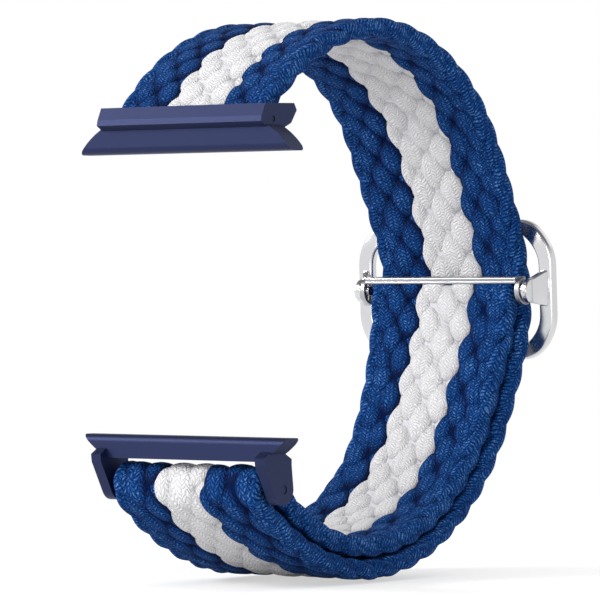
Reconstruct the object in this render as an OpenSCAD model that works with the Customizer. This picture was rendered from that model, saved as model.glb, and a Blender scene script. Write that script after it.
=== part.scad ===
// Braided loop strap with a sliding frame buckle and two slide-in lugs.
// X runs across the band, Y from the lugs to the buckle, Z up along the lugs.

/* [Band] */
// Width of the whole band, edge to edge
band_w = 25; // [22:0.5:26]
// Thickness of one ply of braid
band_t = 2.6; // [2.3:0.1:2.8]
// Share of the width taken by the white centre braid, in percent
centre_share = 34; // [24:1:44]
// Chamfer along the long edges of each braid
edge_chamfer = 0.45; // [0.2:0.05:0.8]
// Distance between the middle of the outer ply and the middle of the tail
ply_step = 3.05; // [3:0.05:3.6]

/* [Loop shape] */
// Radius of the bend that the buckle rides on
ride_r = 22; // [20:0.5:26]
// Half angle of that bend
ride_half = 24; // [22:0.5:28]
// Lean of the buckle from upright
ride_lean = 3; // [0:0.5:5]
// Radius of the nearly straight run above the buckle
upper_flank_r = 150; // [110:5:220]
// Angle of the nearly straight run above the buckle
upper_flank_a = 5.2; // [3:0.2:8]
// Radius of the top bend
top_r = 29.4; // [27:0.2:32]
// Angle of the top bend
top_a = 69; // [66:0.5:72]
// Radius of the run down to the upper lug
crown_r = 35.7; // [33:0.5:40]
// Angle of the run down to the upper lug
crown_a = 37.4; // [34:0.4:40]
// Radius of the nearly straight run below the buckle
lower_flank_r = 107.5; // [90:2.5:160]
// Angle of the nearly straight run below the buckle
lower_flank_a = 6.3; // [4:0.3:9]
// Radius of the bottom bend
sole_r = 33; // [31:0.5:36]
// Angle of the bottom bend
sole_a = 78; // [75:0.5:81]
// Radius of the run up to the lower lug
heel_r = 39.5; // [36:0.5:44]
// Angle of the run up to the lower lug
heel_a = 27; // [24:0.5:30]

/* [Lugs] */
// Radius of the rounded corner that the key ends follow
corner_r = 11; // [9:0.25:12]
// Half of the straight length between the two corner centres
corner_x = 8.5; // [8:0.25:10]
// Thickness of the key that slides into the slot
key_t = 3.2; // [3:0.1:3.6]
// Depth of the upper key
upper_key_h = 3.95; // [3.8:0.05:4.2]
// Rounding along the inner edges of the keys
key_round = 0.9; // [0.5:0.1:1.2]
// Thickness of the side cheeks of the lugs
cheek_t = 1.6; // [1.2:0.1:2]
// Radius of the round tips of the lower lug's cheeks
boss_r = 2; // [1.6:0.1:2.2]
// Radius of the lower lug's cross pin
pin_r = 0.6; // [0.5:0.05:0.75]
// Radius of the pin through the sealed upper end
end_pin_r = 0.4; // [0.3:0.05:0.5]

/* [Lock buttons] */
// Length of the button head
button_l = 4.2; // [3.6:0.1:5]
// Height of the button head
button_h = 1.2; // [1:0.05:1.4]
// How far the button stands out of the key
button_out = 0.55; // [0.4:0.05:0.8]
// Travel of the button
button_travel = 0.5; // [0.3:0.05:0.6]
// Thickness of the keeper plate
keeper_t = 0.4; // [0.3:0.05:0.5]

/* [Buckle] */
// Outer width of the frame
frame_w = 33.4; // [32.4:0.2:36]
// Outer height of the frame
frame_h = 19.2; // [18:0.2:22]
// Width of the frame's rails
rail_w = 2.4; // [1.8:0.1:2.8]
// Thickness of the frame
frame_t = 1.4; // [1.2:0.1:2]
// Radius of the frame's outer corners
frame_corner_r = 6.4; // [5:0.2:7]
// Distance of the frame's inner face from the middle of the outer ply
frame_stand = 0.85; // [0.85:0.05:1.4]
// Height of the thin bar between the knuckles
bar_h = 1.2; // [1:0.1:1.6]
// Wall of the folded bar
bar_wall = 0.35; // [0.25:0.05:0.45]
// Outer radius of the knuckles
knuckle_r = 1.85; // [1.6:0.05:2]
// Length of each knuckle
knuckle_l = 2.15; // [1.8:0.05:2.3]
// How thick the frame's ears are at least
ear_t = 1.5; // [1.2:0.1:2.2]
// Radius of the pivot pins
pivot_r = 0.8; // [0.6:0.05:0.9]

/* [Hidden] */
// Which sub-part is drawn; all draws the whole strap
$fn = 96;
$fa = 2;
$fs = 0.2;
run_gap = 0.05;
press_gap = 0.01;
free_gap = 0.35;
// Neighbouring arcs overlap by this much, and the thinner one is this much smaller
lap = 0.1;
lap_step = 0.01;
// From the inner end of the upper key to the end of the braid's last bend
upper_root = [0.82, 5.18];
centre_w = band_w * centre_share / 100;
colour_gap = 0.06;
blue_c = [0.07, 0.2, 0.47];
white_c = [0.9, 0.9, 0.88];
lug_c = [0.2, 0.23, 0.45];
steel_c = [0.78, 0.79, 0.81];

// One step along a chain of tangent arcs: where an arc that starts at p ends
function arc_centre(p, a, r, s) = p + r * s * [-sin(a), cos(a)];
function arc_stop(p, a, r, da, s) = arc_centre(p, a, r, s) + r * s * [sin(a + s * da), -cos(a + s * da)];
function after(arcs, s, p, a, k) =
    k == 0 ? [p, a] :
    let (q = after(arcs, s, p, a, k - 1))
    [arc_stop(q[0], q[1], arcs[k - 1][0], arcs[k - 1][1], s), q[1] + s * arcs[k - 1][1]];

upper_arcs = [[ride_r, ride_half], [upper_flank_r, upper_flank_a], [top_r, top_a], [crown_r, crown_a]];
lower_arcs = [[ride_r, ride_half], [lower_flank_r, lower_flank_a], [sole_r, sole_a], [heel_r, heel_a]];
// The origin is the inner end of the upper key, so the chain is laid out from there
chain_span = after(upper_arcs, 1, [0, 0], 90 + ride_lean, 4)[0];
ride_p = upper_root - chain_span;
ride_centre = ride_p - ride_r * [cos(ride_lean), sin(ride_lean)];
upper_stop = after(upper_arcs, 1, ride_p, 90 + ride_lean, 4);
lower_stop = after(lower_arcs, -1, ride_p, -90 + ride_lean, 4);

// The turn round the lower pin, and the last arc of the tail that meets it
turn_r = pin_r + run_gap + band_t / 2;
lower_in = [sin(lower_stop[1]), -cos(lower_stop[1])];
pin_p = lower_stop[0] + turn_r * lower_in;
tail_join = after(lower_arcs, -1, ride_p, -90 + ride_lean, 3);
tail_in = [sin(tail_join[1]), -cos(tail_join[1])];
tail_q = tail_join[0] + ply_step * tail_in;
tail_heel_r = ((tail_q - pin_p) * (tail_q - pin_p) - turn_r * turn_r) / (2 * (turn_r - tail_in * (tail_q - pin_p)));
tail_heel_c = tail_q + tail_heel_r * tail_in;
to_heel_c = tail_heel_c - pin_p;
turn_a0 = atan2(to_heel_c[1], to_heel_c[0]);
turn_a1 = lower_stop[1] + 90 + 360;
tail_heel_a0 = turn_a0 + 180;
tail_heel_a1 = tail_join[1] + 90 + 360;
bar_low = -0.1;
tail_top = bar_low - run_gap;
tail_a0 = -asin(-tail_top / (ride_r - ply_step));

// Lug frames: the middle of each key, at its inner end
root_len = 0.9;
upper_dir = [cos(upper_stop[1]), sin(upper_stop[1])];
upper_lug_p = upper_stop[0] - upper_root;
upper_end_p = upper_stop[0] + root_len * upper_dir;
seal_l = 1;
seal_t = band_t - 0.4;
seal_p = upper_end_p + (run_gap + seal_l / 2) * upper_dir;
lower_lug_p = pin_p + [-1.28, turn_r + band_t / 2 + free_gap + 3.1];
lower_key_h = 3.1;
lower_pin_l = [pin_p[0] - lower_lug_p[0], lower_lug_p[1] - pin_p[1]];
cheek_x = band_w / 2 + 0.25;
outer_x = band_w / 2 + 1.1;

// Pocket for the lock button in each key
button_z = 1.475;
flange_l = button_l + 1;
flange_h = button_h + 0.7;
flange_t = 0.48;
pocket_l = flange_l + 0.3;
pocket_h = flange_h + 0.25;
keeper_y = key_t / 2 - keeper_t;
flange_y = keeper_y - 0.02 - flange_t;
pocket_y = flange_y - button_travel - 0.8;
spring_t = 0.15;
spring_h = flange_y - pocket_y - spring_t - 0.04;
spring_chord = flange_l - 0.6;
spring_r = (spring_chord * spring_chord / 4 + spring_h * spring_h) / (2 * spring_h);

// Buckle, in a frame with its origin on the middle of the outer ply and Y outwards
bar_y1 = -band_t / 2 - free_gap;
bar_y0 = -ply_step * 2 - bar_y1;
pivot_y = -ply_step;
pivot_z = bar_low + bar_h - knuckle_r;
knuckle_x = band_w / 2 + 0.4;
ear_x = knuckle_x + knuckle_l + 0.15;
ear_out = max(frame_w / 2, ear_x + ear_t);

module across(x0, x1) {
    translate([x0, 0, 0])
        rotate([90, 0, 90])
            linear_extrude(height = x1 - x0)
                children();
}

// Arc of braid; a thinner one has both ends buried in its thicker neighbours
module band_arc(c, r, a0, a1, x0, x1, thin = 0, e0 = 0, e1 = 0) {
    k = edge_chamfer;
    h = band_t / 2 - thin;
    b0 = a0 - e0 * 180 / PI / r;
    b1 = a1 + e1 * 180 / PI / r;
    u0 = x0 + thin;
    u1 = x1 - thin;
    translate([0, c[0], c[1]])
        rotate([90, 0, 90])
            rotate([0, 0, b0])
                rotate_extrude(angle = b1 - b0, $fn = 180)
                    polygon([[r - h + k, u0], [r + h - k, u0], [r + h, u0 + k], [r + h, u1 - k],
                        [r + h - k, u1], [r - h + k, u1], [r - h, u1 - k], [r - h, u0 + k]]);
}

module stadium(l, h) {
    square([l - h, h], center = true);
    translate([(l - h) / 2, 0])
        circle(d = h, $fn = 40);
    translate([-(l - h) / 2, 0])
        circle(d = h, $fn = 40);
}

module rounded(w, h, r) {
    square([w - 2 * r, h], center = true);
    square([w, h - 2 * r], center = true);
    for (x = [-1, 1])
        for (z = [-1, 1])
            translate([x * (w / 2 - r), z * (h / 2 - r)])
                circle(r = r);
}

// Outer ply and turn, from the upper lug to the point where the tail starts
module main_run(x0, x1) {
    band_arc(ride_centre, ride_r, ride_lean - ride_half, ride_lean + ride_half, x0, x1);
    for (k = [1:3]) {
        q = after(upper_arcs, 1, ride_p, 90 + ride_lean, k);
        c = arc_centre(q[0], q[1], upper_arcs[k][0], 1);
        n = k == 2 ? 0 : 1;
        band_arc(c, upper_arcs[k][0], q[1] - 90, q[1] - 90 + upper_arcs[k][1], x0, x1,
            n * lap_step, n * lap, n * lap);
    }
    for (k = [1:3]) {
        q = after(lower_arcs, -1, ride_p, -90 + ride_lean, k);
        c = arc_centre(q[0], q[1], lower_arcs[k][0], -1);
        n = k == 2 ? 0 : 1;
        band_arc(c, lower_arcs[k][0], q[1] + 90 - lower_arcs[k][1], q[1] + 90, x0, x1,
            n * lap_step, n * lap, n * lap);
    }
    band_arc(pin_p, turn_r, turn_a0, turn_a1, x0, x1);
    translate([0, upper_stop[0][0], upper_stop[0][1]])
        rotate([upper_stop[1] - 180, 0, 0])
            root_block(x0, x1);
}

// Straight end of the braid that goes into the upper lug
module root_block(x0, x1) {
    k = edge_chamfer;
    h = band_t / 2;
    rotate([90, 0, 0])
        linear_extrude(height = root_len)
            polygon([[x0 + k, -h], [x1 - k, -h], [x1, -h + k], [x1, h - k],
                [x1 - k, h], [x0 + k, h], [x0, h - k], [x0, -h + k]]);
}

// Tail, from the turn round the pin back up to the bar
module tail_run(x0, x1) {
    band_arc(ride_centre, ride_r - ply_step, ride_lean - ride_half, ride_lean + tail_a0, x0, x1);
    for (k = [1:2]) {
        q = after(lower_arcs, -1, ride_p, -90 + ride_lean, k);
        c = arc_centre(q[0], q[1], lower_arcs[k][0], -1);
        n = k == 2 ? 0 : 1;
        band_arc(c, lower_arcs[k][0] - ply_step, q[1] + 90 - lower_arcs[k][1], q[1] + 90, x0, x1,
            n * lap_step, n * lap, n * lap);
    }
    band_arc(tail_heel_c, tail_heel_r, tail_heel_a0, tail_heel_a1, x0, x1, lap_step, -run_gap, lap);
}

module braid_blue_left() {
    color(blue_c)
        main_run(-band_w / 2, -centre_w / 2 - colour_gap);
}

module braid_white_centre() {
    color(white_c)
        main_run(-centre_w / 2, centre_w / 2);
}

module braid_blue_right() {
    color(blue_c)
        main_run(centre_w / 2 + colour_gap, band_w / 2);
}

module tail_blue_left() {
    color(blue_c)
        tail_run(-band_w / 2, -centre_w / 2 - colour_gap);
}

module tail_white_centre() {
    color(white_c)
        tail_run(-centre_w / 2, centre_w / 2);
}

module tail_blue_right() {
    color(blue_c)
        tail_run(centre_w / 2 + colour_gap, band_w / 2);
}

// Fused end of the braid inside the upper lug, with the hole for its pin
module upper_end_seal() {
    color([0.05, 0.12, 0.3])
        translate([0, seal_p[0], seal_p[1]])
            rotate([upper_stop[1] - 180, 0, 0])
                difference() {
                    cube([band_w - 0.4, seal_l, seal_t], center = true);
                    rotate([0, 90, 0])
                        cylinder(r = end_pin_r + press_gap, h = band_w, center = true, $fn = 32);
                }
}

// Fused end of the tail, held in the folded bar
module tail_end_seal() {
    y0 = bar_y0 + bar_wall + press_gap;
    y1 = bar_y1 - bar_wall - press_gap;
    z1 = bar_low + bar_h - bar_wall - press_gap;
    color([0.05, 0.12, 0.3])
        on_ride()
            translate([-band_w / 2 + 0.2, y0, bar_low])
                cube([band_w - 0.4, y1 - y0, z1 - bar_low]);
}

module on_ride() {
    translate([0, ride_p[0], ride_p[1]])
        rotate([ride_lean, 0, 0])
            children();
}

module in_upper() {
    translate([0, upper_lug_p[0], upper_lug_p[1]])
        children();
}

module in_lower() {
    translate([0, lower_lug_p[0], lower_lug_p[1]])
        mirror([0, 0, 1])
            children();
}

// Key: thickness section crossed with an outline that follows a rounded corner
module key_solid(h) {
    intersection() {
        across(-corner_x - corner_r, corner_x + corner_r)
            union() {
                translate([-key_t / 2, key_round])
                    square([key_t, h - key_round]);
                translate([-key_t / 2 + key_round, 0])
                    square([key_t - 2 * key_round, h]);
                for (y = [-1, 1])
                    translate([y * (key_t / 2 - key_round), key_round])
                        circle(r = key_round, $fn = 40);
            }
        translate([0, key_t, 0])
            rotate([90, 0, 0])
                linear_extrude(height = 2 * key_t)
                    union() {
                        translate([-corner_x, 0])
                            square([2 * corner_x, h]);
                        for (x = [-1, 1])
                            intersection() {
                                translate([x * corner_x, h + 0.7 - corner_r])
                                    circle(r = corner_r, $fn = 180);
                                translate([-corner_x - corner_r, 0])
                                    square([2 * corner_x + 2 * corner_r, h]);
                            }
                    }
    }
}

module button_pocket() {
    translate([0, key_t / 2 + 1, button_z])
        rotate([90, 0, 0])
            linear_extrude(height = key_t / 2 + 1 - pocket_y)
                stadium(pocket_l, pocket_h);
}

module upper_lug_body() {
    u = upper_root;
    color(lug_c)
        in_upper()
            difference() {
                union() {
                    key_solid(upper_key_h);
                    across(-outer_x, outer_x)
                        polygon([[-key_t / 2, 3.1], [-2.7, 3.75], [-2.55, 4.5], [-1.8, 6.1],
                            [4.35, 6.3], [4.9, 5.4], [3.7, 3.7], [key_t / 2, 2.8]]);
                }
                translate([0, u[0], u[1]])
                    rotate([upper_stop[1] - 180, 0, 0])
                        translate([-band_w / 2 - 0.1, -root_len - run_gap, -band_t / 2 - 0.08])
                            cube([band_w + 0.2, root_len + 8, band_t + 0.16]);
                translate([0, u[0], u[1]])
                    rotate([upper_stop[1] - 180, 0, 0])
                        translate([-band_w / 2 + 0.15, -root_len - seal_l - 0.1, -seal_t / 2 - 0.05])
                            cube([band_w - 0.3, seal_l + 1, seal_t + 0.1]);
                translate([-outer_x - 1, seal_p[0] - upper_lug_p[0], seal_p[1] - upper_lug_p[1]])
                    rotate([0, 90, 0])
                        cylinder(r = end_pin_r + press_gap, h = 2 * outer_x + 2, $fn = 32);
                button_pocket();
            }
}

module upper_end_pin() {
    color(steel_c)
        translate([-outer_x + 0.1, seal_p[0], seal_p[1]])
            rotate([0, 90, 0])
                cylinder(r = end_pin_r, h = 2 * outer_x - 0.2, $fn = 32);
}

module lower_lug_body() {
    p = lower_pin_l;
    color(lug_c)
        in_lower()
            difference() {
                union() {
                    key_solid(lower_key_h);
                    for (s = [-1, 1])
                        across(s > 0 ? cheek_x : -cheek_x - cheek_t, s > 0 ? cheek_x + cheek_t : -cheek_x)
                            union() {
                                polygon([[-key_t / 2 + 0.2, 1.7], [-2.9, 2.6], [-2.75, 3.6],
                                    [p[0] - boss_r * 0.87, p[1] + boss_r * 0.5], [p[0], p[1]],
                                    [p[0] + boss_r * 0.98, p[1] - boss_r * 0.2], [2.9, 3.6],
                                    [2.9, 2.8], [key_t / 2 - 0.2, 2]]);
                                translate(p)
                                    circle(r = boss_r, $fn = 72);
                            }
                }
                translate([-cheek_x - cheek_t - 1, p[0], p[1]])
                    rotate([0, 90, 0])
                        cylinder(r = pin_r + press_gap, h = 2 * (cheek_x + cheek_t + 1), $fn = 40);
                button_pocket();
            }
}

module lower_cross_pin() {
    l = cheek_x + cheek_t - 0.1;
    color(steel_c)
        translate([-l, pin_p[0], pin_p[1]])
            rotate([0, 90, 0])
                cylinder(r = pin_r, h = 2 * l, $fn = 40);
}

module lock_button() {
    color(steel_c)
        translate([0, 0, button_z])
            rotate([-90, 0, 0])
                union() {
                    translate([0, 0, flange_y])
                        linear_extrude(height = flange_t)
                            stadium(flange_l, flange_h);
                    translate([0, 0, flange_y])
                        linear_extrude(height = key_t / 2 + button_out - flange_y)
                            stadium(button_l, button_h);
                }
}

module lock_keeper() {
    color([0.55, 0.56, 0.58])
        translate([0, 0, button_z])
            rotate([-90, 0, 0])
                translate([0, 0, keeper_y])
                    linear_extrude(height = keeper_t)
                        difference() {
                            stadium(pocket_l - 2 * press_gap, pocket_h - 2 * press_gap);
                            stadium(button_l + 2 * run_gap, button_h + 2 * run_gap);
                        }
}

// Arched leaf under the button, crown towards the flange
module lock_spring() {
    a = asin(spring_chord / 2 / spring_r);
    color([0.6, 0.6, 0.62])
        translate([0, flange_y - 0.02 - spring_r, button_z - flange_h / 2 + 0.2])
            rotate([0, 0, 90 - a])
                rotate_extrude(angle = 2 * a, $fn = 120)
                    translate([spring_r - spring_t, 0])
                        square([spring_t, flange_h - 0.4]);
}

module upper_lock_button() {
    in_upper()
        lock_button();
}

module upper_lock_keeper() {
    in_upper()
        lock_keeper();
}

module upper_lock_spring() {
    in_upper()
        lock_spring();
}

module lower_lock_button() {
    in_lower()
        lock_button();
}

module lower_lock_keeper() {
    in_lower()
        lock_keeper();
}

module lower_lock_spring() {
    in_lower()
        lock_spring();
}

// Polished frame with an ear in the middle of each short side
module buckle_frame() {
    color(steel_c)
        on_ride()
            difference() {
                union() {
                    translate([0, frame_stand + frame_t, 0])
                        rotate([90, 0, 0])
                            linear_extrude(height = frame_t)
                                difference() {
                                    rounded(frame_w, frame_h, frame_corner_r);
                                    rounded(frame_w - 2 * rail_w, frame_h - 2 * rail_w, frame_corner_r - rail_w);
                                }
                    for (s = [-1, 1])
                        across(s > 0 ? ear_x : -ear_out, s > 0 ? ear_out : -ear_x)
                            union() {
                                polygon([[pivot_y, pivot_z - knuckle_r + 0.1], [frame_stand + 0.2, pivot_z - 2.7],
                                    [frame_stand + 0.2, pivot_z + 2.7], [pivot_y, pivot_z + knuckle_r - 0.1]]);
                                translate([pivot_y, pivot_z])
                                    circle(r = knuckle_r - 0.1, $fn = 60);
                            }
                    // foot that joins each ear to its rail, wherever the two stand
                    for (s = [-1, 1])
                        hull() {
                            across(s > 0 ? ear_x + 0.1 : -ear_out + 0.1, s > 0 ? ear_out - 0.1 : -ear_x - 0.1)
                                translate([frame_stand + 0.06, pivot_z - 1.8])
                                    square([frame_t - 0.2, 3.6]);
                            across(s > 0 ? frame_w / 2 - rail_w + 0.2 : -frame_w / 2 + 0.2, s > 0 ? frame_w / 2 - 0.2 : -frame_w / 2 + rail_w - 0.2)
                                translate([frame_stand + 0.06, pivot_z - 1.8])
                                    square([frame_t - 0.2, 3.6]);
                        }
                }
                translate([-frame_w, pivot_y, pivot_z])
                    rotate([0, 90, 0])
                        cylinder(r = pivot_r + press_gap, h = 2 * frame_w, $fn = 48);
            }
}

module buckle_pivots() {
    l = ear_out - 0.1 - knuckle_x - 0.7;
    color(steel_c)
        on_ride()
            for (s = [-1, 1])
                translate([s > 0 ? knuckle_x + 0.7 : -knuckle_x - 0.7 - l, pivot_y, pivot_z])
                    rotate([0, 90, 0])
                        cylinder(r = pivot_r, h = l, $fn = 48);
}

// Folded bar that grips the tail, with a curled knuckle at each end
module buckle_bar() {
    d = bar_y1 - bar_y0;
    color(steel_c)
        on_ride()
            difference() {
                union() {
                    translate([-knuckle_x - 0.2, bar_y0, bar_low])
                        cube([2 * knuckle_x + 0.4, d, bar_h]);
                    for (s = [-1, 1])
                        translate([s > 0 ? knuckle_x : -knuckle_x - knuckle_l, pivot_y, pivot_z])
                            rotate([0, 90, 0])
                                cylinder(r = knuckle_r, h = knuckle_l, $fn = 60);
                }
                translate([-band_w / 2, bar_y0 + bar_wall, bar_low - 1])
                    cube([band_w, d - 2 * bar_wall, bar_h + 1 - bar_wall]);
                translate([-band_w / 2, bar_y0 - 1, bar_low + bar_h / 2 - 0.08])
                    cube([band_w, 1.12, 0.16]);
                translate([-knuckle_x - knuckle_l - 1, pivot_y, pivot_z])
                    rotate([0, 90, 0])
                        cylinder(r = pivot_r + run_gap, h = knuckle_l + 1.3, $fn = 48);
                translate([knuckle_x - 0.3, pivot_y, pivot_z])
                    rotate([0, 90, 0])
                        cylinder(r = pivot_r + run_gap, h = knuckle_l + 1.3, $fn = 48);
                for (s = [-1, 1])
                    translate([s > 0 ? knuckle_x - 0.1 : -knuckle_x - knuckle_l - 0.1, pivot_y - 0.35, pivot_z - knuckle_r - 1])
                        cube([knuckle_l + 0.2, 0.7, knuckle_r + 1]);
            }
}

braid_blue_left();
braid_white_centre();
braid_blue_right();
tail_blue_left();
tail_white_centre();
tail_blue_right();
upper_end_seal();
tail_end_seal();
upper_lug_body();
upper_end_pin();
upper_lock_button();
upper_lock_keeper();
upper_lock_spring();
lower_lug_body();
lower_cross_pin();
lower_lock_button();
lower_lock_keeper();
lower_lock_spring();
buckle_frame();
buckle_pivots();
buckle_bar();
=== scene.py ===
"""Looks of the braided loop strap: cords, metal parts, light and camera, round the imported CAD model.

Lengths inside the helpers are millimetres in the row frame (X across the band, Y from the
lugs to the buckle, Z up) and are turned into metres when a mesh is made.
"""
import math

import bmesh
import bpy
import numpy as np
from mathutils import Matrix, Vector


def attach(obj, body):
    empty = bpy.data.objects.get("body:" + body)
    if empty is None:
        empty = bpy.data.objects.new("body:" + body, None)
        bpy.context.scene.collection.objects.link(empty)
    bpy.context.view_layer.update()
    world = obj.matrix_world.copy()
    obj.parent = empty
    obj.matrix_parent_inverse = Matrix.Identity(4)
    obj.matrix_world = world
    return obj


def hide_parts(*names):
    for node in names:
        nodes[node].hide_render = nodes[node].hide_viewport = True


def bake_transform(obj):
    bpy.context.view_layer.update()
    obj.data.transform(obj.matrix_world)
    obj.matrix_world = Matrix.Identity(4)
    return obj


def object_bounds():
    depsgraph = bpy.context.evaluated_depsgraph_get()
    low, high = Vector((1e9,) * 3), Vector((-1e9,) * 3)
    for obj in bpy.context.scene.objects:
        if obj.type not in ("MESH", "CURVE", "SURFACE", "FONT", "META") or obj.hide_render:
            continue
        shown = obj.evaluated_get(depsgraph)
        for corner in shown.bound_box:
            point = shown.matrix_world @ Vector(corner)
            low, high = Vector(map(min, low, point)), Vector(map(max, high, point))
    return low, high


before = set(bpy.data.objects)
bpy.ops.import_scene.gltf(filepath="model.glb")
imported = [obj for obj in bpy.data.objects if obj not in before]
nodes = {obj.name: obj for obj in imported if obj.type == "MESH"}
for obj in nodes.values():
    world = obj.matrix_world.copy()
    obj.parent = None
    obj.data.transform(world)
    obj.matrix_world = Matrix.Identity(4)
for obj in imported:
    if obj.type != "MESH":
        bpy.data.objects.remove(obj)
cad_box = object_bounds()

MM = 0.001
DEG = math.pi / 180

# Camera, from the photograph's side
scene = bpy.context.scene
scene.view_settings.view_transform = "Standard"
cam_data = bpy.data.cameras.new("photo_camera")
cam_data.lens = 260.4
cam_data.sensor_width = 36.0
cam_data.clip_start = 0.02
cam_data.clip_end = 20.0
camera = bpy.data.objects.new("photo_camera", cam_data)
camera.location = (0.3508, -0.4419, -0.0191)
camera.rotation_euler = (90 * DEG, 0.0, 37 * DEG)
scene.collection.objects.link(camera)
scene.camera = camera

# Path of the band: the same chain of tangent arcs as the CAD band, walked from the upper lug
# over the top, down the far side, round the bottom, round the lower pin and back up as the tail.
# Arcs are (radius, degrees turned), from the buckle's ride outwards.
LEAN_DEG = 3.0                      # how far the ride leans from upright
RIDE_R = 22.0                       # radius of the bend that the buckle rides on
UPPER = [(RIDE_R, 24), (150, 5.2), (29.4, 69), (35.7, 37.4)]
LOWER = [(RIDE_R, 24), (107.5, 6.3), (33, 78), (39.5, 27)]
ROOT = (0.82, 5.18)                 # where the band enters the upper lug
PLY = 3.05                          # step from the band's middle to the tail's
TURN_R = 0.6 + 0.05 + 1.3           # round the lower pin: its radius, a gap, half the thickness
TAIL_TOP = -0.15                    # height of the tail's end over the ride's apex
PATH_STEPS = 8                      # points per millimetre of the path
STUB = 3.0                          # straight piece beyond each end of the path


def on_circle(centre, radius, angle):
    """The point of a circle at an angle in degrees."""
    return np.array([centre[0] + radius * math.cos(angle * DEG), centre[1] + radius * math.sin(angle * DEG)])


def chain(turns, sign, point, heading):
    """Tangent arcs from a point: (centre, radius, first and last heading) of each, and the end."""
    out = []
    for radius, turned in turns:
        inward = np.array([-math.sin(heading * DEG), math.cos(heading * DEG)])
        centre = np.array(point) + radius * sign * inward
        last = heading + sign * turned
        point = centre + radius * sign * np.array([math.sin(last * DEG), -math.cos(last * DEG)])
        out.append((centre, radius, heading, last))
        heading = last
    return out, np.array(point), heading


def heel_arc(pin, centre, radius, heading):
    """Arc from the turn round the pin to the start of the tail, which lies PLY inside the arc given."""
    inward = np.array([math.sin(heading * DEG), -math.cos(heading * DEG)])
    start = on_circle(centre, radius, heading + 90) + PLY * inward
    gap = start - pin
    heel_r = (gap @ gap - TURN_R ** 2) / (2 * (TURN_R - inward @ gap))
    return start + heel_r * inward, heel_r


def band_arcs():
    """Arcs of the whole band as (centre, radius, first and last angle), and how many are the main run."""
    _, span, _ = chain(UPPER, 1, (0, 0), 90 + LEAN_DEG)
    apex = np.array(ROOT) - span
    upper, _, _ = chain(UPPER, 1, apex, 90 + LEAN_DEG)
    lower, lower_end, lower_heading = chain(LOWER, -1, apex, -90 + LEAN_DEG)
    pin = lower_end + TURN_R * np.array([math.sin(lower_heading * DEG), -math.cos(lower_heading * DEG)])
    arcs = [(c, r, last - 90, first - 90) for c, r, first, last in reversed(upper)]
    arcs += [(c, r, first + 90, last + 90) for c, r, first, last in lower]
    main = len(arcs)
    centre, radius, heading, _ = lower[3]
    heel_c, heel_r = heel_arc(pin, centre, radius, heading)
    turned = math.atan2(heel_c[1] - pin[1], heel_c[0] - pin[0]) / DEG
    arcs.append((pin, TURN_R, lower_heading + 450, turned))
    arcs.append((heel_c, heel_r, turned + 180, heading + 450))
    for centre, radius, first, last in (lower[2], lower[1]):
        arcs.append((centre, radius - PLY, last + 90, first + 90))
    centre, radius, _, last = lower[0]
    tail_angle = LEAN_DEG - math.asin(-TAIL_TOP / (RIDE_R - PLY)) / DEG
    arcs.append((centre, radius - PLY, last + 90, tail_angle))
    return arcs, main


def walk(arcs):
    """Points and tangents along the arcs, and the length of each arc."""
    points, tangents, lengths = [], [], []
    for k, (centre, radius, first, last) in enumerate(arcs):
        count = max(3, int(abs(last - first) * DEG * radius * PATH_STEPS))
        sign = 1 if last > first else -1
        lengths.append(abs(last - first) * DEG * radius)
        for j in range(count + (k == len(arcs) - 1)):
            angle = first + (last - first) * j / count
            points.append(on_circle(centre, radius, angle))
            tangents.append(sign * np.array([-math.sin(angle * DEG), math.cos(angle * DEG)]))
    return np.array(points), np.array(tangents), lengths


band, main_arcs = band_arcs()
path_p, path_t, arc_lengths = walk(band)
path_s = np.concatenate([[0], np.cumsum(np.linalg.norm(np.diff(path_p, axis=0), axis=1))])
path_p = np.vstack([path_p[0] - STUB * path_t[0], path_p, path_p[-1] + STUB * path_t[-1]])
path_t = np.vstack([path_t[:1], path_t, path_t[-1:]])
path_s = np.concatenate([[-STUB], path_s, [path_s[-1] + STUB]])
S_MAIN = sum(arc_lengths[:main_arcs])       # the band meets the lower pin
S_TURN = sum(arc_lengths[:main_arcs + 1])   # it leaves the pin and becomes the tail
S_END = path_s[-1] - STUB                   # the tail reaches the bar
S_START = -0.9                              # the cords start inside the upper lug
S_TOP = S_END + 1.2                         # the tail ends up inside the bar
JOIN = 0.2                                  # the main run and the tail overlap by this each way


def at(s, x, off):
    """Points of the band's frame: s along it, x across, off from the middle of the ply."""
    py = np.interp(s, path_s, path_p[:, 0])
    pz = np.interp(s, path_s, path_p[:, 1])
    ty = np.interp(s, path_s, path_t[:, 0])
    tz = np.interp(s, path_s, path_t[:, 1])
    length = np.hypot(ty, tz)
    return np.stack(np.broadcast_arrays(x, py - off * tz / length, pz + off * ty / length), -1)


def smooth(keys):
    """A smooth curve through (s, value) pairs, which goes on straight beyond its ends."""
    ks, vs = np.array(keys, float).T
    slope = np.gradient(vs, ks)

    def curve(s):
        i = np.clip(np.searchsorted(ks, s) - 1, 0, len(ks) - 2)
        h = ks[i + 1] - ks[i]
        t = (s - ks[i]) / h
        tc = np.clip(t, 0, 1)
        y = ((1 + 2 * tc) * (1 - tc) ** 2 * vs[i] + tc * (1 - tc) ** 2 * h * slope[i]
             + tc * tc * (3 - 2 * tc) * vs[i + 1] + tc * tc * (tc - 1) * h * slope[i + 1])
        before = np.where(t < 0, (s - ks[i]) * slope[i], 0)
        return y + before + np.where(t > 1, (s - ks[i + 1]) * slope[i + 1], 0)
    return curve


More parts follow.
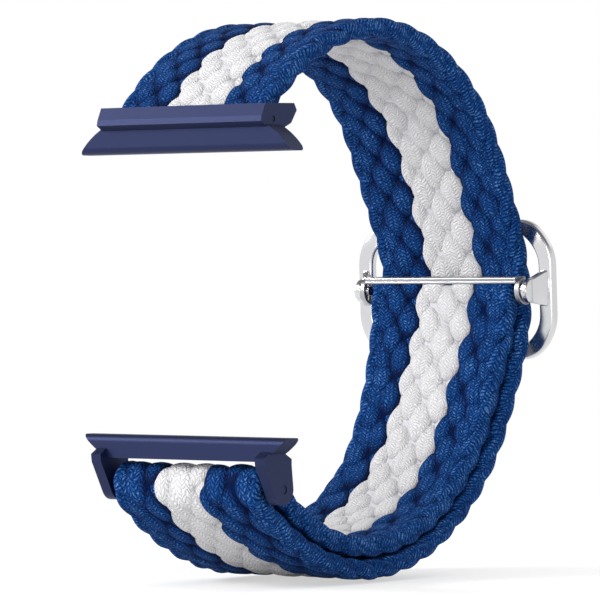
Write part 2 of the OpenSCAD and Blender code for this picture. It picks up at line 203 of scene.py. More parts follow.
# Edges of the three groups of cords, across the band at places along it
EDGE_L = smooth([
    (-5, -12), (16, -12), (40, -12), (56, -12), (63, -12.3), (72, -12.5), (79, -12.2), (95, -12),
    (155, -11.7), (172, -11.8), (190, -11.8), (205, -10.2), (216, -9.3), (221, -9.5), (227, -10.0),
    (235, -10.6), (241, -11.4), (245, -11.8), (252, -12)])
BOUND_1 = smooth([
    (-5, -4.2), (16, -4.2), (40, -4.3), (54, -4.3), (60, -3.9), (66, -4.1), (72, -4.5), (79, -4.3),
    (95, -4.2), (155, -4.6), (172, -4.5), (200, -4.3), (238, -4.2), (252, -3.9)])
BOUND_2 = smooth([
    (-5, 4.9), (16, 4.8), (40, 4.9), (54, 5.1), (60, 4.9), (66, 4.5), (72, 4.2), (79, 4.4), (95, 4.5),
    (130, 4.2), (148, 3.2), (158, 2.5), (168, 2.6), (185, 4.0), (200, 4.4), (217, 4.6), (225, 4.35),
    (235, 4.1), (244, 4.8), (252, 4.9)])
EDGE_R = smooth([
    (-5, 12), (16, 12.1), (40, 12.2), (56, 12.4), (63, 12.3), (69, 12), (76, 11.8), (87, 12.2),
    (122, 11.8), (155, 11.8), (172, 11.9), (200, 11.7), (238, 11.6), (252, 11.9)])
# Where each group's left-hand turns sit: (place along the band, count of turns)
PHASE_1 = smooth([
    (-5, -0.95), (0.5, 0), (5.9, 1), (17, 3), (29, 5), (40.6, 7), (52.2, 9), (58.3, 10), (64.6, 11),
    (71, 12), (77.4, 13), (110, 18.3), (150, 25), (172, 28.7), (190, 31.7), (216.6, 36), (229.9, 38),
    (242, 40), (253.5, 42)])
PHASE_2 = smooth([
    (-5, -0.95), (0.15, 0), (5.5, 1), (16.6, 3), (28, 5), (39.7, 7), (51.4, 9), (57.4, 10), (63.6, 11),
    (70.1, 12), (76.7, 13), (109.6, 18.4), (149.5, 25), (172, 28.7), (190, 31.7), (216, 36), (222.6, 37),
    (229.2, 38), (235.6, 39), (241.4, 40), (247.2, 41), (253, 42)])
PHASE_3 = smooth([
    (-5, -1.38), (4.7, 0.5), (9.9, 1.5), (15, 2.5), (27, 4.5), (39.4, 6.5), (52.1, 8.5), (58.9, 9.5),
    (65.6, 10.5), (72.3, 11.5), (79.3, 12.5), (105, 16.5), (149.8, 23.5), (156.2, 24.5), (162.3, 25.5),
    (172, 27.1), (190, 30.05), (217.8, 34.5), (224.4, 35.5), (230.9, 36.5), (237.3, 37.5), (243.3, 38.5),
    (253, 40.1)])


# Meshes of the cords
def grid_mesh(name, grids, grid_uvs, grid_rims=None):
    """Closed tubes in one mesh, each from rings of points [n, m, 3] in millimetres, uvs [n, m + 1, 2]."""
    verts, loops, uvs, sizes, base = [], [], [], [], 0
    rims = np.zeros(sum(g.shape[0] * g.shape[1] for g in grids), np.float32)
    if grid_rims is not None:
        rims[:] = np.concatenate([r.reshape(-1) for r in grid_rims])
    for rows, uv in zip(grids, grid_uvs):
        n, m = rows.shape[:2]
        i, j = np.meshgrid(np.arange(n - 1), np.arange(m), indexing="ij")
        here = i * m + j
        beside = i * m + (j + 1) % m
        quads = np.stack([here, here + m, beside + m, beside], -1).reshape(-1, 4)
        caps = [np.arange(m), (n - 1) * m + np.arange(m)[::-1]]
        verts.append(rows.reshape(-1, 3))
        loops.append(np.concatenate([quads.reshape(-1)] + caps) + base)
        uvs.append(np.stack([uv[:-1, :-1], uv[1:, :-1], uv[1:, 1:], uv[:-1, 1:]], 2).reshape(-1, 2))
        uvs += [uv[0, :-1], uv[-1, :-1][::-1]]
        sizes.append(np.concatenate([np.full(len(quads), 4), [m, m]]))
        base += n * m
    verts, loops, uvs, sizes = (np.concatenate(v) for v in (verts, loops, uvs, sizes))
    mesh = bpy.data.meshes.new(name)
    mesh.vertices.add(len(verts))
    mesh.vertices.foreach_set("co", (verts * MM).astype(np.float32).reshape(-1))
    mesh.loops.add(len(loops))
    mesh.loops.foreach_set("vertex_index", loops.astype(np.int32))
    mesh.polygons.add(len(sizes))
    starts = np.concatenate([[0], np.cumsum(sizes)[:-1]])
    mesh.polygons.foreach_set("loop_start", starts.astype(np.int32))
    mesh.update(calc_edges=True)
    mesh.polygons.foreach_set("use_smooth", np.ones(len(sizes), bool))
    # The rim values go to the uv layer 'rim', by which the cord materials paint crease shade.
    pairs = np.stack([rims[loops], 0 * rims[loops]], 1)
    for layer_name, values in (("yarn", uvs), ("rim", pairs)):
        layer = mesh.uv_layers.new(name=layer_name)
        layer.data.foreach_set("uv", values.astype(np.float32).reshape(-1))
    mesh.validate()
    obj = bpy.data.objects.new(name, mesh)
    scene.collection.objects.link(obj)
    return obj


# Each group is a flat braid of four cords. Along a cord, the swellings come in the order
# left edge, B over, C under, D over, right edge, D under, C over, B under.
# A group gives its left and right bounds, the count of its turns, its slot and its five columns.
# A column gives its middle (share of the group's width, millimetres added), its half width
# and half length, its height above the middle of the ply and its half thickness.
LEAN = 0.17         # how far each swelling leans over to the left per millimetre along the band
HEM = 1.1           # how far the outer groups stay inside the band's free edges
GROUPS = {
    "blue_left": (lambda s: EDGE_L(s) + HEM, BOUND_1, PHASE_1, "braid_blue", (
        (0.0, 0.5, 1.6, 3.2, 0.0, 1.1),
        (0.0, 1.5, 2.0, 3.1, 0.5, 0.85),
        (1.0, -3.5, 2.05, 3.2, 0.5, 0.9),
        (1.0, -1.3, 2.0, 3.1, 0.5, 0.85),
        (1.0, -0.3, 1.3, 3.1, 0.0, 0.9))),
    "white_centre": (BOUND_1, BOUND_2, PHASE_2, "braid_white", (
        (0.0, 0.95, 1.68, 3.25, 0.0, 1.27),
        (0.0, 2.6, 2.15, 3.15, 0.5, 0.82),
        (0.6, 0.0, 2.1, 3.25, 0.55, 0.82),
        (0.86, 0.0, 2.0, 3.15, 0.5, 0.82),
        (1.0, 0.1, 1.3, 3.1, 0.0, 0.9))),
    "blue_right": (BOUND_2, lambda s: EDGE_R(s) - HEM, PHASE_3, "braid_blue", (
        (0.0, 0.9, 1.65, 3.25, 0.0, 1.27),
        (0.0, 2.6, 2.05, 3.1, 0.5, 0.85),
        (0.0, 4.7, 2.0, 3.2, 0.5, 0.9),
        (1.0, -0.9, 1.7, 3.1, 0.5, 0.85),
        (1.0, -0.5, 1.2, 3.1, 0.0, 0.9))),
}
# Column and side of each of a cord's eight swellings: 1 is the face away from the wrist
SWELLS = ((0, 0), (1, 1), (2, -1), (3, 1), (4, 0), (3, -1), (2, 1), (1, -1))
WRIST_WIDER = 1.07  # how much wider the swellings are on the wrist's face
PITCH = 6.1         # the half lengths hold where the turns are this far apart
DIVE = 0.12         # how much lower a swelling's end lies than its start, per half length
RINGS = 21          # rings of points along a swelling
ROUND = 18          # points round a swelling
TIP = 0.06          # angle between a swelling's tip and its first ring, so that no tip is a point
LAST_TURN = 400     # more half turns than the whole band has
SPILL = 1.5         # swellings with a middle up to this far beyond a run's ends still show
OVERHANG = 0.9      # they are cut flat this far before the run starts
LEAST = 0.3         # one that is cut to less than this, in half lengths, is left out


def step_at(s, place, width):
    """A smooth step from 0 to 1 as s passes a place."""
    return 1 / (1 + np.exp(-(s - place) / width))


def squeeze_at(s):
    """Share of the full thickness: less in the lug, round the pin and in the bar's mouth."""
    share = 1 - 0.1 * np.exp(-(np.clip(s, 0, None) / 1.6) ** 2)
    share *= 1 - 0.15 * (1 + np.tanh((s - (S_END + 0.65)) / 0.24))
    share *= 1 - 0.12 * (step_at(s, S_MAIN + 0.5, 0.7) - step_at(s, S_TURN + 0.5, 0.7))
    return share


def swelling(group, column, face, lean, middle, reach, low, high):
    """Points, uvs and rim values of one egg-shaped swelling, cut flat at the shares low and high."""
    left, right, _, _, _ = GROUPS[group]
    share, plus, half_w, half_l, height, thick = column
    round_a = (np.arange(ROUND) * 2 * np.pi / ROUND)[None]
    first = max(TIP, math.acos(-low))
    last = min(math.pi - TIP, math.acos(-high))
    d = -np.cos(np.linspace(first, last, RINGS))[:, None]
    ds = d * reach
    s = middle + ds + 0 * round_a
    centre = left(s) + (right(s) - left(s)) * share + plus
    x = centre - lean * ds + half_w * np.sqrt(1 - d * d) * np.cos(round_a)
    # rim is 0 on a swelling's crown and 1 at its rim; it shapes the thickness here, and the cord materials
    # paint crease shade by it.
    rim = np.minimum(d * d + (1 - d * d) * np.cos(round_a) ** 2, 1.0)
    h = thick * np.sqrt(1 - rim ** 1.15) * np.sign(np.sin(round_a))
    if face:
        h = face * (height - DIVE * ds / half_l) + h
    uv = np.zeros((RINGS, ROUND + 1, 2))
    uv[..., 0] = ds + middle
    uv[..., 1] = np.arange(ROUND + 1)[None] / ROUND
    return at(s, x, h * squeeze_at(s)), uv, rim


def cord(name, group, j, s0, s1):
    """One braided cord as the chain of swellings that it shows, each diving under its neighbours."""
    _, _, phase, _, columns = GROUPS[group]
    rng = np.random.default_rng(1000 * (j + 1) + len(group) + int(s0 > 100) * 7)
    table = np.arange(-12.0, S_END + 12, 0.1)
    count = phase(table)
    parts = []
    for n in range(-8, LAST_TURN):
        turn = n / 2.0 - j
        if not count[0] < turn < count[-1]:
            continue
        middle = np.interp(turn, count, table) + rng.uniform(-0.12, 0.12)
        col, face = SWELLS[n % 8]
        share, plus, half_w, half_l, height, thick = columns[col]
        half_w *= rng.uniform(0.96, 1.04)
        thick *= rng.uniform(0.97, 1.03)
        lean = (LEAN if face > 0 else 0.0) + (rng.uniform(-0.05, 0.05) if face else 0.0)
        if not s0 - SPILL < middle < s1 + SPILL:
            continue
        pitch = np.interp(turn + 0.5, count, table) - np.interp(turn - 0.5, count, table)
        reach = half_l * pitch / PITCH * rng.uniform(0.97, 1.03)
        if face < 0:
            half_w *= WRIST_WIDER
        low = max(-1.0, (s0 - OVERHANG - middle) / reach)
        high = min(1.0, (S_TOP - middle) / reach)
        if high - low < LEAST:
            continue
        column = (share, plus, half_w, half_l, height, thick)
        parts.append(swelling(group, column, face, lean, middle, reach, low, high))
    return grid_mesh(name, *zip(*parts))


SIDES = 16          # points round an edge cord or a core


def tube(name, s, x, h, w, t, start=0.0):
    """A flattened cord: its middle at (s, x, h) in the band's frame, w wide and t thick."""
    mid = at(s, x, h)
    along = np.gradient(mid, axis=0)
    length = np.concatenate([[0], np.cumsum(np.linalg.norm(np.diff(mid, axis=0), axis=1))])
    along /= np.linalg.norm(along, axis=1)[:, None]
    side = np.cross(along, at(s, x, 1.0) - at(s, x, 0.0))
    side /= np.linalg.norm(side, axis=1)[:, None]
    top = np.cross(side, along)
    a = np.arange(SIDES) * 2 * np.pi / SIDES
    across = np.sign(np.cos(a)) * np.abs(np.cos(a)) ** 0.85
    upward = np.sign(np.sin(a)) * np.abs(np.sin(a)) ** 0.65
    rows = (mid[:, None] + side[:, None] * (w / 2)[:, None, None] * across[None, :, None]
            + top[:, None] * (t / 2)[:, None, None] * upward[None, :, None])
    uv = np.zeros((len(s), SIDES + 1, 2))
    uv[..., 0] = (length + start)[:, None]
    uv[..., 1] = np.arange(SIDES + 1)[None] / SIDES / 4
    return grid_mesh(name, [rows], [uv])


EDGE_RINGS = 3.5    # rings of points per millimetre of an edge cord
EDGE_TWIST = 9.1    # length of a whole turn of the two edge cords
EDGE_IN = 0.95      # from the band's free edge to the middle of the twist
EDGE_SWAY = 0.3     # how far an edge cord goes across as it turns
EDGE_RISE = 0.36    # how far it goes up and down
EDGE_W = 1.8        # its width
EDGE_T = 2.1        # its thickness
YARN_SHIFT = 3.1    # how far the second cord's yarns start from the first's


def edge_cord(name, edge, j, s0, s1):
    """One of the two cords twisted together along a free edge."""
    s = np.linspace(s0, s1, int((s1 - s0) * EDGE_RINGS) + 1)
    a = -2 * np.pi * (s / EDGE_TWIST + j / 2)
    q = squeeze_at(s)
    inward = -1 if edge is EDGE_R else 1
    x = edge(s) + inward * EDGE_IN + EDGE_SWAY * np.cos(a)
    return tube(name, s, x, EDGE_RISE * np.sin(a) * q, EDGE_W + 0 * s, EDGE_T * q, YARN_SHIFT * j)


CORE_RINGS = 2      # rings of points per millimetre of a core
CORE_T = 1.8        # its thickness


def core(name, left, right, s0, s1):
    """The flat core that the cords cross round."""
    s = np.linspace(s0, s1, int((s1 - s0) * CORE_RINGS) + 4)
    lo, hi = left(s), right(s)
    return tube(name, s, (lo + hi) / 2, 0 * s, hi - lo, CORE_T * squeeze_at(s))


# Materials
def srgb(red, green, blue):
    """A colour of the photograph's scale, 0 to 255, as Blender's linear values."""
    def linear(v):
        return (v / 255 / 12.92) if v <= 10.3 else ((v / 255 + 0.055) / 1.055) ** 2.4
    return (linear(red), linear(green), linear(blue), 1.0)


class Graph:
    """Small helper for building the node tree of a material or the world."""

    def __init__(self, owner):
        self.owner = owner
        owner.use_nodes = True
        self.tree = owner.node_tree

    def node(self, kind, **values):
        n = self.tree.nodes.new(kind)
        for key, value in values.items():
            setattr(n, key, value)
        return n

    def link(self, a, b):
        self.tree.links.new(a, b)

    def math(self, op, a, b=None, c=None, clamp=False):
        n = self.node("ShaderNodeMath", operation=op, use_clamp=clamp)
        for i, v in enumerate((a, b, c)):
            if v is None:
                continue
            if isinstance(v, (int, float)):
                n.inputs[i].default_value = v
            else:
                self.link(v, n.inputs[i])
        return n.outputs[0]

    def mix(self, share, a, b):
        n = self.node("ShaderNodeMix", data_type="RGBA")
        self.link(share, n.inputs[0])
        n.inputs[6].default_value = a
        n.inputs[7].default_value = b
        return n.outputs[2]

    def ramp(self, value, stops):
        n = self.node("ShaderNodeValToRGB")
        elements = n.color_ramp.elements
        while len(elements) < len(stops):
            elements.new(0.5)
        for element, (place, colour) in zip(elements, stops):
            element.position = place
            element.color = colour if isinstance(colour, tuple) else (colour, colour, colour, 1)
        self.link(value, n.inputs[0])
        return n.outputs[0]

    def noise(self, scale, detail, vector):
        n = self.node("ShaderNodeTexNoise")
        n.inputs["Scale"].default_value = scale
        n.inputs["Detail"].default_value = detail
        self.link(vector, n.inputs["Vector"])
        return n.outputs["Fac"]

    def place(self):
        return self.node("ShaderNodeTexCoord").outputs["Object"]

    def uv(self, layer):
        split = self.node("ShaderNodeSeparateXYZ")
        self.link(self.node("ShaderNodeUVMap", uv_map=layer).outputs[0], split.inputs[0])
        return split.outputs

    def seen(self):
        """1 for the rays that show the surroundings: the camera's, and those in metal and glass."""
        rays = self.node("ShaderNodeLightPath").outputs
        shown = self.math("MAXIMUM", rays["Is Camera Ray"], rays["Is Glossy Ray"])
        return self.math("MAXIMUM", shown, rays["Is Transmission Ray"])

    def blend(self, share, a, b):
        n = self.node("ShaderNodeMixShader")
        for i, v in enumerate((share, a, b)):
            self.link(v, n.inputs[i])
        return n.outputs[0]


class Surface(Graph):
    """Node tree of a material, with its principled shader."""

    def __init__(self, name):
        super().__init__(bpy.data.materials.new(name))
        self.bsdf = self.tree.nodes["Principled BSDF"]

    def colour(self, value):
        self.link(value, self.bsdf.inputs["Base Color"])

    def values(self, **values):
        for key, value in values.items():
            self.bsdf.inputs[key.replace("_", " ")].default_value = value

    def bump(self, height, distance):
        n = self.node("ShaderNodeBump")
        n.inputs["Distance"].default_value = distance
        self.link(height, n.inputs["Height"])
        self.link(n.outputs["Normal"], self.bsdf.inputs["Normal"])


YARN_COLUMNS = 16   # columns of yarns round a cord
YARN_STEP = 0.5     # millimetres from one yarn to the next


def yarn_height(g, place):
    """Relief of short slanted yarns in columns, leaning the other way in every second column."""
    along_uv, round_uv, _ = g.uv("yarn")
    along = g.math("MULTIPLY_ADD", g.noise(900, 3, place), 0.9, along_uv)
    sway = g.math("MULTIPLY", g.noise(600, 2, place), 1.4)
    y = g.math("ADD", g.math("MULTIPLY_ADD", round_uv, YARN_COLUMNS, 0.5), sway)
    column = g.math("FLOOR", y)
    q = g.math("SUBTRACT", g.math("SUBTRACT", y, column), 0.5)
    odd = g.math("MODULO", column, 2.0)
    lean = g.math("MULTIPLY", q, g.math("MULTIPLY_ADD", odd, -2.0, 1.0))
    phase = g.math("ADD", g.math("DIVIDE", along, YARN_STEP), lean)
    phase = g.math("MULTIPLY_ADD", odd, 0.5, phase)
    ridge = g.math("ABSOLUTE", g.math("SINE", g.math("MULTIPLY", phase, math.pi)))
    across = g.math("ABSOLUTE", g.math("MULTIPLY", q, 2.0))
    edge = g.math("SUBTRACT", 1.0, g.math("POWER", across, 3.0))
    return g.math("MULTIPLY", g.math("POWER", ridge, 0.8), g.math("MULTIPLY_ADD", edge, 0.55, 0.45))


def cord_material(name, groove_shade, body, tip, sheen_tint, sheen, crease):
    """A braided cord. Its colour holds painted shade, darker in the yarns' grooves and towards the rim of
    each swelling, and a painted highlight on the yarns' tips.
    """
    g = Surface(name)
    place = g.place()
    height = yarn_height(g, place)
    speck = g.noise(4200, 3, place)
    broad = g.noise(300, 3, place)
    fleck = g.math("MULTIPLY", g.math("SUBTRACT", speck, 0.5), 1.2)
    tone = g.math("ADD", g.math("MULTIPLY", height, 0.56), fleck)
    tone = g.math("ADD", tone, g.math("MULTIPLY", g.math("SUBTRACT", broad, 0.5), 0.3))
    # Painted shade: darker towards the rim of each swelling, where it dives under its neighbours into a
    # crease.
    painted_crease_shade = g.math("MULTIPLY", g.math("POWER", g.uv("rim")[0], 2.0), crease)
    tone = g.math("SUBTRACT", tone, painted_crease_shade)
    # Painted shade and highlight: the yarn relief sets the colour, the groove colour in its hollows and the
    # tip colour on its crests; the specks and broad noise are the yarn's own uneven tone.
    g.colour(g.ramp(tone, [(0.0, groove_shade), (0.5, body), (1.0, tip)]))
    g.values(Roughness=0.85, Specular_IOR_Level=0.08, Sheen_Weight=sheen, Sheen_Roughness=0.45,
             Sheen_Tint=sheen_tint)
    g.bump(g.math("ADD", height, g.math("MULTIPLY", speck, 0.4)), 0.00013)
    return g.owner


def metal(name, colour, rough, grain_scale, grain_stretch, grain, bump_m, metallic=1.0):
    """A metal with a fine grain in its colour, its gloss and its surface."""
    g = Surface(name)
    place = g.place()
    mapping = g.node("ShaderNodeMapping")
    mapping.inputs["Scale"].default_value = grain_stretch
    g.link(place, mapping.inputs["Vector"])
    fine = g.noise(grain_scale, 3, mapping.outputs[0])
    broad = g.noise(180, 2, place)
    tone = g.math("ADD", g.math("MULTIPLY", fine, grain), g.math("MULTIPLY", broad, grain * 0.6))
    dark = tuple(v * 0.86 for v in colour[:3]) + (1.0,)
    g.colour(g.mix(g.math("ADD", tone, 0.2, clamp=True), colour, dark))
    g.values(Metallic=metallic)
    g.link(g.math("MULTIPLY_ADD", fine, grain * 0.5, rough), g.bsdf.inputs["Roughness"])
    g.bump(fine, bump_m)
    return g.owner


def plain_material(name, scale, detail, dark, light, **values):
    """A matt material that is mottled between two colours."""
    g = Surface(name)
    mottle = g.noise(scale, detail, g.place())
    g.colour(g.ramp(mottle, [(0.3, dark), (0.7, light)]))
    g.values(**values)
    g.bump(mottle, 0.0001)
    return g.owner


# Cord colours: painted groove shade, the yarn's own colour, painted highlight on the yarn tips; then the
# sheen tint and weight, and the strength of the painted crease shade.
blue_yarn = cord_material("blue_yarn", srgb(3, 19, 58), srgb(9, 65, 129), srgb(118, 158, 200),
                          srgb(60, 120, 220), 0.03, 0.85)
white_yarn = cord_material("white_yarn", srgb(192, 191, 194), srgb(213, 212, 213), srgb(228, 227, 228),
                           (1, 1, 1, 1), 0.06, 0.45)
EVEN = (1, 1, 1)
DRAWN = (0.1, 1, 1)
steel = metal("polished_steel", srgb(212, 212, 214), 0.2, 900, EVEN, 0.1, 0.0000004)
satin = metal("satin_steel", srgb(176, 176, 179), 0.36, 900, EVEN, 0.12, 0.0000004)
spring = metal("spring_steel", srgb(150, 152, 156), 0.28, 2500, DRAWN, 0.3, 0.000008)
anodised = metal("lug_blue", srgb(19, 32, 74), 0.42, 9000, EVEN, 0.3, 0.00001, 0.6)
fused = plain_material("fused_braid", 1400, 4, srgb(6, 20, 56), srgb(26, 56, 112), Roughness=0.45)
# Painted shade: the cores are coloured like the cords' dark grooves, so the gaps between swellings, where a
# core shows, look shaded.
core_blue = plain_material("core_blue", 5000, 3, srgb(0, 14, 48), srgb(0, 24, 70),
                           Roughness=0.9, Specular_IOR_Level=0.05)
core_white = plain_material("core_white", 5000, 3, srgb(186, 186, 192), srgb(206, 206, 210),
                            Roughness=0.9, Specular_IOR_Level=0.05)


def set_material(obj, mat):
    obj.data.materials.clear()
    obj.data.materials.append(mat)


def soften(obj, width):
    """Rounds the sharp edges by width millimetres."""
    obj.data.polygons.foreach_set("use_smooth", [True] * len(obj.data.polygons))
    mod = obj.modifiers.new("edges", "BEVEL")
    mod.width = width * MM
    mod.segments = 3
    mod.limit_method = "ANGLE"
    mod.angle_limit = 35 * DEG
    mod.harden_normals = True


# The lugs and what is in them are the CAD solids
for end in ("upper", "lower"):
    set_material(nodes[end + "_lug_body"], anodised)
    soften(nodes[end + "_lug_body"], 0.18)
    set_material(nodes[end + "_lock_button"], steel)
    set_material(nodes[end + "_lock_keeper"], spring)
    set_material(nodes[end + "_lock_spring"], spring)
set_material(nodes["upper_end_pin"], anodised)
set_material(nodes["lower_cross_pin"], anodised)
set_material(nodes["upper_end_seal"], fused)

# The buckle, in its own frame: X across, Y outwards, Z up, origin on the ride's apex
RIDE_Y, RIDE_Z = 60.3431, -17.2515          # the ride's apex in the row frame
AXIS_Y, AXIS_Z = -2.65, -0.4                # the axis of the pivots
RING_W, RING_H = 33.3, 19.6                 # outer width and height of the ring
RING_R = 6.4                                # radius of its outer corners
RING_Y = 1.55                               # how far its top and bottom stand outwards
RING_DROP = 0.45                            # how far its middle lies below the apex
RAIL_W, RAIL_T = 2.4, 1.4                   # width and thickness of its rail
BOW, BOW_FROM, BOW_OVER = 1.5, 9.5, 5.5     # the sides' step back, where it starts, and its length
KNUCKLE_R, KNUCKLE_SHEET = 1.95, 0.42       # radius of the rolled ends and of their sheet
KNUCKLE_IN, HUB_IN, HUB_OUT = 12.85, 13.65, 14.8    # from the middle to the knuckle and the ear
PIN_R = 0.75
EAR_R, EAR_BACK, EAR_LONG = 1.72, 1.7, 5.0  # the ear's round end, its reach behind the axis, its length
EAR_T = 1.0                                 # its thickness at the pivot
EAR_FLARE = 2.3                             # length over which it widens towards the ring


def on_buckle(points):
    """Points from the buckle's own frame to the row frame."""
    p = np.asarray(points, float)
    c, q = math.cos(LEAN_DEG * DEG), math.sin(LEAN_DEG * DEG)
    return np.stack([p[..., 0], RIDE_Y + p[..., 1] * c - p[..., 2] * q,
                     RIDE_Z + p[..., 1] * q + p[..., 2] * c], -1)


def metal_piece(name, shape, node, body, bevel=0.0, mat=steel):
    """A piece of the buckle from the verts and faces of its shape, which stands for a CAD node."""
    verts, faces = shape
    mesh = bpy.data.meshes.new(name)
    mesh.from_pydata([tuple(v) for v in on_buckle(verts) * MM], [], faces)
    mesh.update()
    mesh.polygons.foreach_set("use_smooth", [True] * len(mesh.polygons))
    obj = bpy.data.objects.new(name, mesh)
    scene.collection.objects.link(obj)
    bm = bmesh.new()
    bm.from_mesh(mesh)
    bmesh.ops.recalc_face_normals(bm, faces=bm.faces[:])
    bm.to_mesh(mesh)
    bm.free()
    if bevel:
        soften(obj, bevel)
    else:
        mesh.set_sharp_from_angle(angle=40 * DEG)
    set_material(obj, mat)
    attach(obj, body)
    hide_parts(node)


def prism(outline, x0, x1):
    """Verts and faces of an outline of (y, z) points drawn along X."""
    n = len(outline)
    verts = [(x, y, z) for x in (x0, x1) for y, z in outline]
    faces = [[i, (i + 1) % n, n + (i + 1) % n, n + i] for i in range(n)]
    return verts, faces + [list(range(n))[::-1], list(range(n, 2 * n))]


def loft(rings, closed=False):
    """Verts and faces of rings of points, joined in turn, with flat ends unless closed."""
    n, m = len(rings), len(rings[0])
    verts = [p for ring in rings for p in ring]
    faces = []
    for i in range(n if closed else n - 1):
        this, after = i * m, (i + 1) % n * m
        faces += [[this + j, this + (j + 1) % m, after + (j + 1) % m, after + j] for j in range(m)]
    if not closed:
        faces += [list(range(m))[::-1], [(n - 1) * m + j for j in range(m)]]
    return verts, faces


CORNERS = ((1, 1), (-1, 1), (-1, -1), (1, -1))


def round_box(w, h, r, steps):
    """Outline of a rounded rectangle about the origin."""
    out = []
    for k, (x, y) in enumerate(CORNERS):
        for i in range(steps + 1):
            t = (k * 90 + i * 90 / steps) * DEG
            out.append((x * (w / 2 - r) + r * math.cos(t), y * (h / 2 - r) + r * math.sin(t)))
    return out


def ease(t):
    """0 to 1 with a soft start and end."""
    t = min(max(t, 0), 1)
    return t * t * (3 - 2 * t)


def ring_shape():
    """The ring: a rounded rail round a rounded rectangle, its sides nearer the wrist."""
    path = []
    r = RING_R - RAIL_W / 2
    for k, (sx, sz) in enumerate(CORNERS):
        cx, cz = sx * (RING_W / 2 - RING_R), sz * (RING_H / 2 - RING_R)
        for i in range(17):
            t = (k * 90 + i * 90 / 16) * DEG
            path.append((cx + r * math.cos(t), cz + r * math.sin(t), math.cos(t), math.sin(t)))
        if k % 2 == 0:
            for i in range(1, 16):
                path.append((cx - sx * i / 16 * 2 * abs(cx), cz + sz * r, 0.0, float(sz)))
    section = round_box(RAIL_W, RAIL_T, 0.42, 5)
    rings = []
    for px, pz, nx, nz in path:
        y = RING_Y - BOW * ease((abs(px) - BOW_FROM) / BOW_OVER)
        rings.append([(px + nx * a, y + b, pz + nz * a - RING_DROP) for a, b in section])
    return loft(rings, True)


def ear_shape(side):
    """An ear: round about the pivot, wider and thicker where it meets the ring."""
    wider, thicker, further_out, higher = 0.8, 0.15, 1.15, 0.25
    rings = []
    for i in range(25):
        y = AXIS_Y - EAR_BACK + i / 24 * EAR_LONG
        f = ease((y - AXIS_Y) / EAR_FLARE)
        half = EAR_R + wider * f
        if y < AXIS_Y:
            half = math.sqrt(max(EAR_R ** 2 - (y - AXIS_Y) ** 2, 0.01))
        mid = (HUB_IN + HUB_OUT) / 2 + further_out * f
        box = round_box(EAR_T + thicker * f, 2 * half, min(0.25, half * 0.6), 3)
        rings.append([(side * (mid + a), y, AXIS_Z + higher * f + b) for a, b in box])
    return loft(rings)


def about_axis(r, degrees):
    return (AXIS_Y + r * math.cos(degrees * DEG), AXIS_Z + r * math.sin(degrees * DEG))


def knuckle_outline():
    """A curl of sheet that leaves the bar's top and comes round from below."""
    turns = [90 + 300 * i / 32 for i in range(33)]
    outer = [about_axis(KNUCKLE_R, t) for t in turns]
    return outer + [about_axis(KNUCKLE_R - KNUCKLE_SHEET, t) for t in reversed(turns)]


def bar_outline():
    """The folded bar: two beads along its front, over the mouth that grips the tail."""
    front, back, top, bead_r, wall = -4.3, -1.65, AXIS_Z + KNUCKLE_R, 0.24, 0.35
    low = top - 4 * bead_r
    out = [(back - 0.2, top)]
    for k, turns in ((0, range(0, 151, 15)), (1, range(30, 181, 15))):
        middle = top - bead_r * (1 + 2 * k)
        for t in turns:
            out.append((front + bead_r - bead_r * math.sin(t * DEG), middle + bead_r * math.cos(t * DEG)))
    inner = front + wall + 0.1
    out += [(inner, low), (inner, top - wall), (back - wall, top - wall), (back - wall, low)]
    return out + [(back, low), (back, top - 0.2)]


metal_piece("buckle_ring", ring_shape(), "buckle_frame", "buckle_frame")
for side, word in ((-1, "left"), (1, "right")):
    metal_piece("buckle_ear_" + word, ear_shape(side), "buckle_frame", "buckle_frame")
    pin = [about_axis(PIN_R, i * 15) for i in range(24)]
    metal_piece("pivot_pin_" + word, prism(pin, side * (KNUCKLE_IN + 0.1), side * (HUB_OUT - 0.25)),
                "buckle_pivots", "buckle_frame", 0.1)
    metal_piece("bar_knuckle_" + word, prism(knuckle_outline(), side * KNUCKLE_IN, side * (HUB_IN - 0.05)),
                "buckle_bar", "buckle_bar", 0.08, satin)
metal_piece("bar_channel", prism(bar_outline(), -KNUCKLE_IN - 0.02, KNUCKLE_IN + 0.02),
            "buckle_bar", "buckle_bar", mat=satin)


def dress(obj, mat, node, tail):
    """Gives a piece of braid its material, puts it on the strap's body unless it is part of the tail, whose
    transform it bakes, and hides the CAD node it stands for.
    """
    set_material(obj, mat)
    if tail:
        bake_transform(obj)
        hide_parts("tail_" + node)
    else:
        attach(obj, "strap")
        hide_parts("braid_" + node)


for tail, (s0, s1) in enumerate([(S_START, S_TURN + JOIN), (S_TURN - JOIN, S_TOP)]):
    pre = "tail_" if tail else ""
    for group, (left, right, _, slot, _) in GROUPS.items():
        yarn, inside = (white_yarn, core_white) if slot == "braid_white" else (blue_yarn, core_blue)
        for j in range(4):
            dress(cord("%scord_%s_%d" % (pre, group, j + 1), group, j, s0, s1), yarn, group, tail)
        dress(core("%score_%s" % (pre, group), left, right, s0, s1), inside, group, tail)
    for word, edge in (("left", EDGE_L), ("right", EDGE_R)):
        for j in range(2):
            piece = edge_cord("%sedge_cord_%s_%d" % (pre, word, j + 1), edge, j, s0, s1)
            dress(piece, blue_yarn, "blue_" + word, tail)

# Fused end of the tail: a flat strip between the cords, up in the bar's mouth
SEAL_START = S_END + 0.55
SEAL_IN = 0.4       # how far it stays inside the band's edges
seal = core("tail_end_fused", lambda s: EDGE_L(s) + SEAL_IN, lambda s: EDGE_R(s) - SEAL_IN, SEAL_START, S_TOP)
set_material(seal, fused)
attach(seal, "buckle_bar")
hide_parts("tail_end_seal")

# Floor, backdrop and light
FLOOR_GLOW = 0.55
FADE_FROM, FADE_TO = 0.1, 0.32      # metres from the middle over which the floor fades to white
FLOOR_SIZE = 6
FLOOR_GAP = 0.0005                  # from the floor up to the part


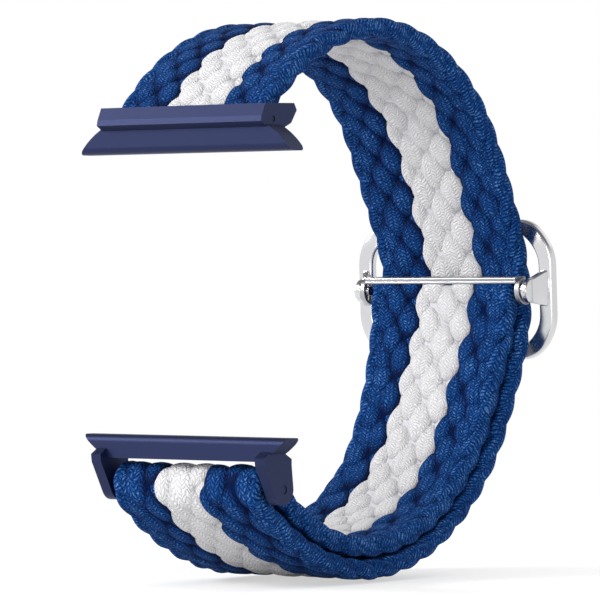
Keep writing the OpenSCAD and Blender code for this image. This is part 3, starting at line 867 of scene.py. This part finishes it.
def stage_material(name):
    """Pale floor: it takes the object's shadow near by and fades into the white surroundings."""
    g = Graph(bpy.data.materials.new(name))
    g.tree.nodes.remove(g.tree.nodes["Principled BSDF"])
    place = g.place()
    far = g.node("ShaderNodeVectorMath", operation="LENGTH")
    g.link(place, far.inputs[0])
    fade = g.node("ShaderNodeMapRange", interpolation_type="SMOOTHSTEP")
    g.link(far.outputs["Value"], fade.inputs["Value"])
    fade.inputs["From Min"].default_value = FADE_FROM
    fade.inputs["From Max"].default_value = FADE_TO
    paper = g.node("ShaderNodeBsdfDiffuse")
    g.link(g.ramp(g.noise(60, 3, place), [(0.3, 0.42), (0.7, 0.45)]), paper.inputs[0])
    glow = g.node("ShaderNodeEmission")
    glow.inputs[1].default_value = FLOOR_GLOW
    near = g.node("ShaderNodeAddShader")
    g.link(paper.outputs[0], near.inputs[0])
    g.link(glow.outputs[0], near.inputs[1])
    white = g.node("ShaderNodeEmission")
    shown = g.blend(fade.outputs[0], near.outputs[0], white.outputs[0])
    plain = g.node("ShaderNodeBsdfDiffuse")
    plain.inputs[0].default_value = (0.8, 0.8, 0.8, 1)
    final = g.blend(g.seen(), plain.outputs[0], shown)
    g.link(final, g.tree.nodes["Material Output"].inputs[0])
    return g.owner


def studio_world():
    """Even white light, and surroundings that darken upwards where metal and the camera see them."""
    g = Graph(bpy.data.worlds.new("studio"))
    g.tree.nodes.clear()
    light = g.node("ShaderNodeBackground")
    light.inputs[0].default_value = (1, 1, 1, 1)
    shown = g.node("ShaderNodeBackground")
    split = g.node("ShaderNodeSeparateXYZ")
    g.link(g.node("ShaderNodeTexCoord").outputs["Generated"], split.inputs[0])
    g.link(g.ramp(split.outputs[2], [(0.3, 1), (0.7, (0.2, 0.2, 0.21, 1))]), shown.inputs[0])
    final = g.blend(g.seen(), light.outputs[0], shown.outputs[0])
    g.link(final, g.node("ShaderNodeOutputWorld").inputs[0])
    return g.owner


STRAP_MIDDLE = Vector((0.0, 0.03, -0.02))


def area_light(name, loc, size, power):
    """A square lamp that points at the middle of the strap."""
    data = bpy.data.lights.new(name, "AREA")
    data.shape = "SQUARE"
    data.size = size
    data.energy = power
    obj = bpy.data.objects.new(name, data)
    obj.location = loc
    obj.rotation_euler = (STRAP_MIDDLE - Vector(loc)).to_track_quat("-Z", "Y").to_euler()
    scene.collection.objects.link(obj)


scene.world = studio_world()
area_light("key", (-0.55, -0.42, 0.32), 0.22, 4.6)
area_light("fill", (0.1, -0.7, -0.1), 0.4, 3.4)
area_light("back", (0.1, 0.6, 0.5), 0.5, 0.6)

bpy.ops.mesh.primitive_plane_add(size=FLOOR_SIZE, location=(0, 0, cad_box[0][2] - FLOOR_GAP))
floor = bpy.context.object
floor.name = "floor"
set_material(floor, stage_material("floor_paper"))
